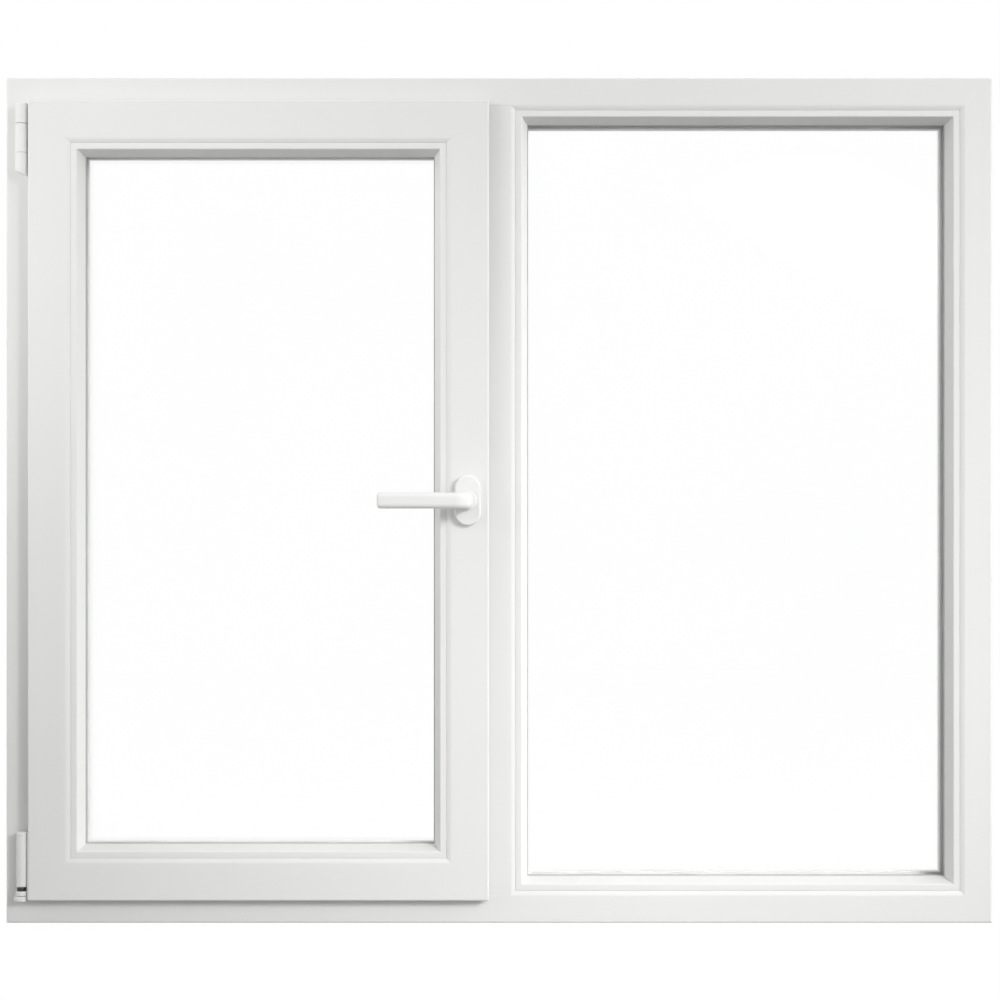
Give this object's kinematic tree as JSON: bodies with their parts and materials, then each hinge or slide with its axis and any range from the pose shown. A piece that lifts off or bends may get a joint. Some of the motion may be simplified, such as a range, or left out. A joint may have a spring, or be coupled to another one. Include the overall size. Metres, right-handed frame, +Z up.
{
  "type": "tilt and turn window",
  "caption": "White double-glazed window with an inward tilt and turn sash hung on the left, lever handle on its lock stile, and a fixed pane beside it.",
  "frame": {"origin": "middle of the flat underside of the sill, halfway through the frame's depth", "axes": "+Z up, +X to the right seen from the room, +Y to the outside"},
  "size_m": [1.4, 0.151, 1.2],
  "materials": {
    "upvc_frame": "satin white extrusion",
    "upvc_sash": "satin white extrusion",
    "upvc_bead": "satin white extrusion",
    "clear_glass": "clear float glass",
    "spacer_bar": "dull metal bar",
    "glazing_gasket": "matt grey rubber",
    "sash_seal": "matt grey rubber",
    "hinge_cover": "white moulded cover",
    "hinge_steel": "plated steel",
    "hardware_steel": "plated steel",
    "handle_coat": "white powder coat",
    "drain_plastic": "white moulded cover"
  },
  "bodies": {
    "frame": {"frame_sill": "upvc_frame", "frame_head": "upvc_frame", "frame_hinge_jamb": "upvc_frame", "frame_fixed_jamb": "upvc_frame", "mullion": "upvc_frame", "frame_seal": "sash_seal", "strikers": "hardware_steel", "drain_covers": "drain_plastic", "upper_hinge_bearing": "hinge_cover", "upper_hinge_cap": "hinge_cover", "lower_hinge_bearing": "hinge_cover", "fixed_bead_sill": "upvc_bead", "fixed_bead_right": "upvc_bead", "fixed_bead_head": "upvc_bead", "fixed_bead_left": "upvc_bead", "fixed_gasket_room": "glazing_gasket", "fixed_gasket_outer": "glazing_gasket", "fixed_pane_room": "clear_glass", "fixed_pane_outer": "clear_glass", "fixed_spacer": "spacer_bar"},
    "swivel": {"lower_hinge_swivel": "hinge_steel"},
    "stay": {"upper_hinge_knuckle": "hinge_cover", "stay_arm": "hardware_steel"},
    "sash": {"sash_bottom_rail": "upvc_sash", "sash_top_rail": "upvc_sash", "sash_hinge_stile": "upvc_sash", "sash_lock_stile": "upvc_sash", "sash_seal": "sash_seal", "stay_rail": "hardware_steel", "lock_rail": "hardware_steel", "lower_hinge_cover": "hinge_cover", "lower_hinge_strap": "hinge_steel", "handle_rose": "handle_coat", "sash_bead_sill": "upvc_bead", "sash_bead_right": "upvc_bead", "sash_bead_head": "upvc_bead", "sash_bead_left": "upvc_bead", "sash_gasket_room": "glazing_gasket", "sash_gasket_outer": "glazing_gasket", "sash_pane_room": "clear_glass", "sash_pane_outer": "clear_glass", "sash_spacer": "spacer_bar"},
    "handle": {"handle_lever": "handle_coat"}
  },
  "joints": [
    {"name": "sash_turn", "type": "hinge", "parent": "frame", "child": "swivel", "pos_m": [-0.6755, -0.046, 0.0445], "axis": [0, 0, 1], "range_deg": [-90, 0]},
    {"name": "sash_tilt", "type": "hinge", "parent": "swivel", "child": "sash", "pos_m": [-0.6755, -0.046, 0.0445], "axis": [1, 0, 0], "range_deg": [0, 8]},
    {"name": "stay_swing", "type": "hinge", "parent": "swivel", "child": "stay", "pos_m": [-0.6755, -0.046, 1.149], "axis": [0, 0, 1], "range_deg": [-22.5, 0]},
    {"name": "handle_turn", "type": "hinge", "parent": "sash", "child": "handle", "pos_m": [-0.0445, -0.055, 0.6], "axis": [0, 1, 0], "range_deg": [-90, 90]}
  ],
  "couplings": [
    {"joint": "stay_swing", "follows": "sash_tilt", "ratio": -2.78}
  ]
}
